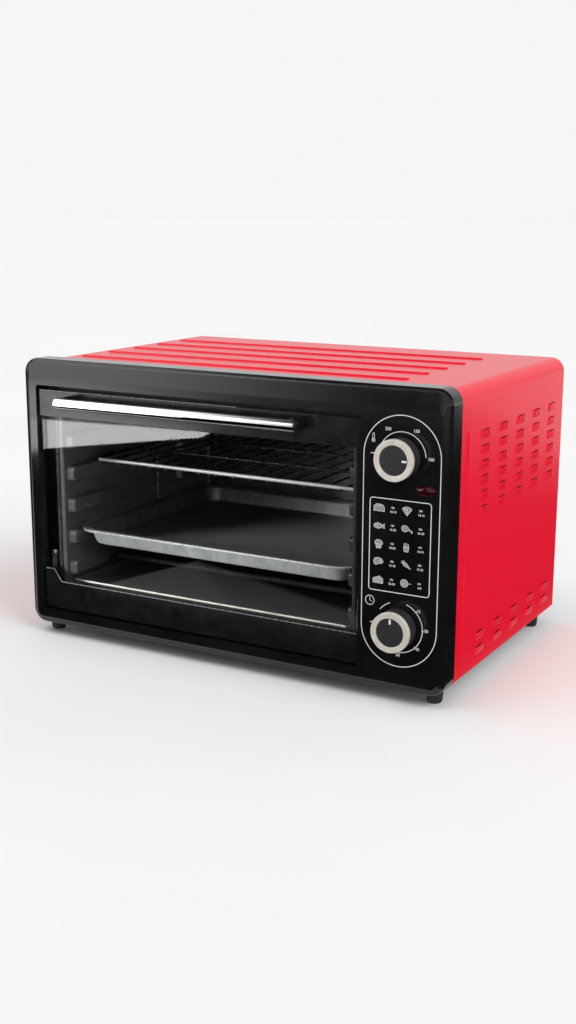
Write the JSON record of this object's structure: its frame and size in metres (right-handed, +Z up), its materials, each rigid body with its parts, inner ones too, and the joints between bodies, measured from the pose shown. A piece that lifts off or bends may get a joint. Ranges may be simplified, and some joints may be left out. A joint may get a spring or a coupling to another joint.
{
  "type": "countertop oven",
  "caption": "Countertop oven with a drop-down glass door, bar handle, rotary temperature and timer controls, wire rack, baking tray and crumb tray.",
  "frame": {"origin": "middle of the bounding box in plan, at the height of the surface that the feet stand on", "axes": "+X along the width towards the control side, +Y from the door to the back, +Z up"},
  "size_m": [0.5, 0.3618, 0.309],
  "materials": {
    "black_gloss_plastic": "gloss",
    "black_plastic": "satin",
    "black_coated_steel": "satin",
    "red_painted_steel": "gloss",
    "galvanised_steel": "satin",
    "dark_tray_steel": "satin",
    "chrome": "polished",
    "silver_trim": "satin",
    "heater_rod": "matt",
    "black_rubber": "matt",
    "cream_ceramic": "matt",
    "brass": "polished",
    "red_lens": "gloss",
    "door_glass": "polished",
    "cavity_steel": "satin",
    "white_print": "matt"
  },
  "bodies": {
    "oven_body": {"front_bezel": "black_gloss_plastic", "outer_cover": "red_painted_steel", "rear_panel": "galvanised_steel", "cord_gland": "black_rubber", "base_pan": "galvanised_steel", "foot_front_left": "black_rubber", "foot_front_right": "black_rubber", "foot_rear_left": "black_rubber", "foot_rear_right": "black_rubber", "cavity_left_wall": "cavity_steel", "cavity_right_wall": "cavity_steel", "cavity_roof": "cavity_steel", "cavity_floor": "cavity_steel", "cavity_back": "cavity_steel", "heater_top_front": "heater_rod", "heater_top_rear": "heater_rod", "heater_bottom_front": "heater_rod", "heater_bottom_rear": "heater_rod", "control_plate": "galvanised_steel", "thermostat_body": "cream_ceramic", "timer_body": "galvanised_steel", "timer_bell": "brass", "power_lamp_lens": "red_lens", "power_lamp_holder": "cream_ceramic", "terminal_block": "cream_ceramic"},
    "door": {"door_glass": "door_glass", "door_top_strip": "black_coated_steel", "door_bottom_strip": "black_coated_steel", "door_hinge_left": "galvanised_steel", "door_hinge_right": "galvanised_steel", "door_stay_left": "galvanised_steel", "door_stay_right": "galvanised_steel", "handle_bar": "chrome", "handle_post_left": "black_plastic", "handle_post_right": "black_plastic", "handle_screw_left": "galvanised_steel", "handle_screw_right": "galvanised_steel"},
    "rack": {"wire_rack": "chrome"},
    "tray": {"baking_tray": "dark_tray_steel"},
    "crumb": {"crumb_tray": "galvanised_steel"},
    "temperature_dial": {"temperature_knob": "black_plastic", "temperature_knob_ring": "silver_trim", "temperature_shaft": "galvanised_steel"},
    "timer_dial": {"timer_knob": "black_plastic", "timer_knob_ring": "silver_trim", "timer_shaft": "galvanised_steel"}
  },
  "joints": [
    {"name": "door_hinge", "type": "hinge", "parent": "oven_body", "child": "door", "pos_m": [-0.037, -0.15063, 0.038], "axis": [1, 0, 0], "range_deg": [0, 90], "stiffness_Nm_per_rad": 0.3, "springref_deg": -20.05},
    {"name": "rack_slide", "type": "slide", "parent": "oven_body", "child": "rack", "axis": [0, -1, 0], "range_m": [0, 0.2]},
    {"name": "tray_slide", "type": "slide", "parent": "oven_body", "child": "tray", "axis": [0, -1, 0], "range_m": [0, 0.175]},
    {"name": "crumb_tray_slide", "type": "slide", "parent": "oven_body", "child": "crumb", "axis": [0, -1, 0], "range_m": [0, 0.051]},
    {"name": "temperature_turn", "type": "hinge", "parent": "oven_body", "child": "temperature_dial", "pos_m": [0.2022, -0.15712, 0.243], "axis": [0, 1, 0], "range_deg": [-180, 0]},
    {"name": "timer_turn", "type": "hinge", "parent": "oven_body", "child": "timer_dial", "pos_m": [0.2022, -0.15712, 0.0775], "axis": [0, 1, 0], "range_deg": [-50, 180]}
  ],
  "couplings": [
    {"joint": "rack_slide", "follows": "door_hinge", "m_per_rad": 0.125},
    {"joint": "tray_slide", "follows": "door_hinge", "m_per_rad": 0.11},
    {"joint": "crumb_tray_slide", "follows": "door_hinge", "m_per_rad": 0.032}
  ]
}
